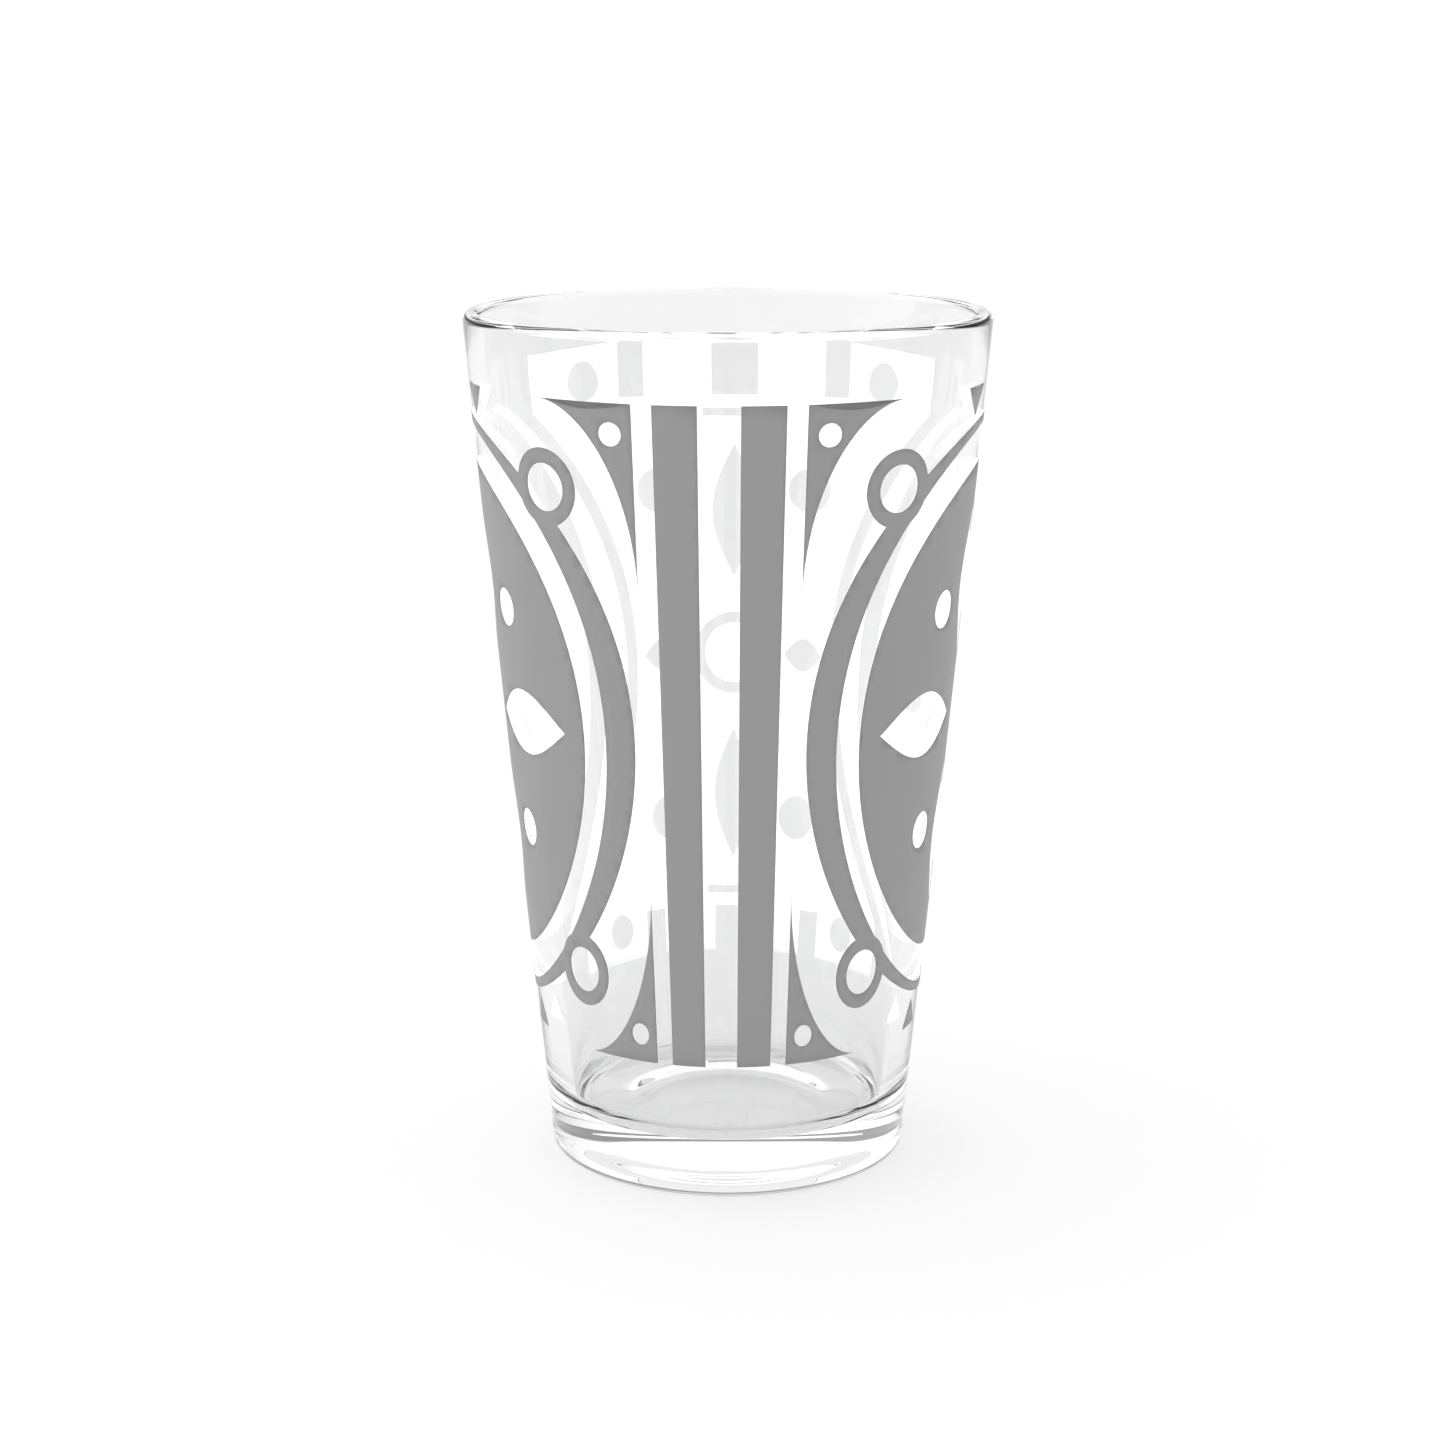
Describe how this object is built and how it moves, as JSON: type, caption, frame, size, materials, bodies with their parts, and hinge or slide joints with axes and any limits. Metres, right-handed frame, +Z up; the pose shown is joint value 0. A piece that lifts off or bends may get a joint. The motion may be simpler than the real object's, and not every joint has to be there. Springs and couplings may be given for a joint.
{
  "type": "pint glass",
  "caption": "Tapered clear drinking glass with a thick base, a rounded rim and a plain grey printed ornament of stripes, crescents and ovals around the outside.",
  "frame": {"origin": "centre of the flat bearing ring that the glass stands on", "axes": "+Z up along the glass's axis, -Y towards the front of the print, +X to the right of someone facing that front"},
  "size_m": [0.0886, 0.0886, 0.146],
  "materials": {
    "clear_glass": "clear polished soda-lime glass",
    "white_ink": "opaque white screen-printed base layer on the glass",
    "grey_ink": "flat mid-grey screen-printed ink over the white layer"
  },
  "bodies": {
    "root": {"glass_body": "clear_glass", "stripe_left_white": "white_ink", "stripe_left_grey": "grey_ink", "stripe_right_white": "white_ink", "stripe_right_grey": "grey_ink", "spandrel_upper_left_white": "white_ink", "spandrel_upper_left_grey": "grey_ink", "spandrel_upper_right_white": "white_ink", "spandrel_upper_right_grey": "grey_ink", "spandrel_lower_left_white": "white_ink", "spandrel_lower_left_grey": "grey_ink", "spandrel_lower_right_white": "white_ink", "spandrel_lower_right_grey": "grey_ink", "crescent_left_white": "white_ink", "crescent_left_grey": "grey_ink", "crescent_right_white": "white_ink", "crescent_right_grey": "grey_ink", "medallion_left_white": "white_ink", "medallion_left_grey": "grey_ink", "medallion_right_white": "white_ink", "medallion_right_grey": "grey_ink", "fleck_upper_left_white": "white_ink", "fleck_upper_left_grey": "grey_ink", "fleck_upper_right_white": "white_ink", "fleck_upper_right_grey": "grey_ink", "fleck_lower_left_white": "white_ink", "fleck_lower_left_grey": "grey_ink", "fleck_lower_right_white": "white_ink", "fleck_lower_right_grey": "grey_ink", "back_crescent_left_white": "white_ink", "back_crescent_left_grey": "grey_ink", "back_crescent_right_white": "white_ink", "back_crescent_right_grey": "grey_ink", "back_panel_white": "white_ink", "back_panel_grey": "grey_ink"}
  },
  "joints": []
}
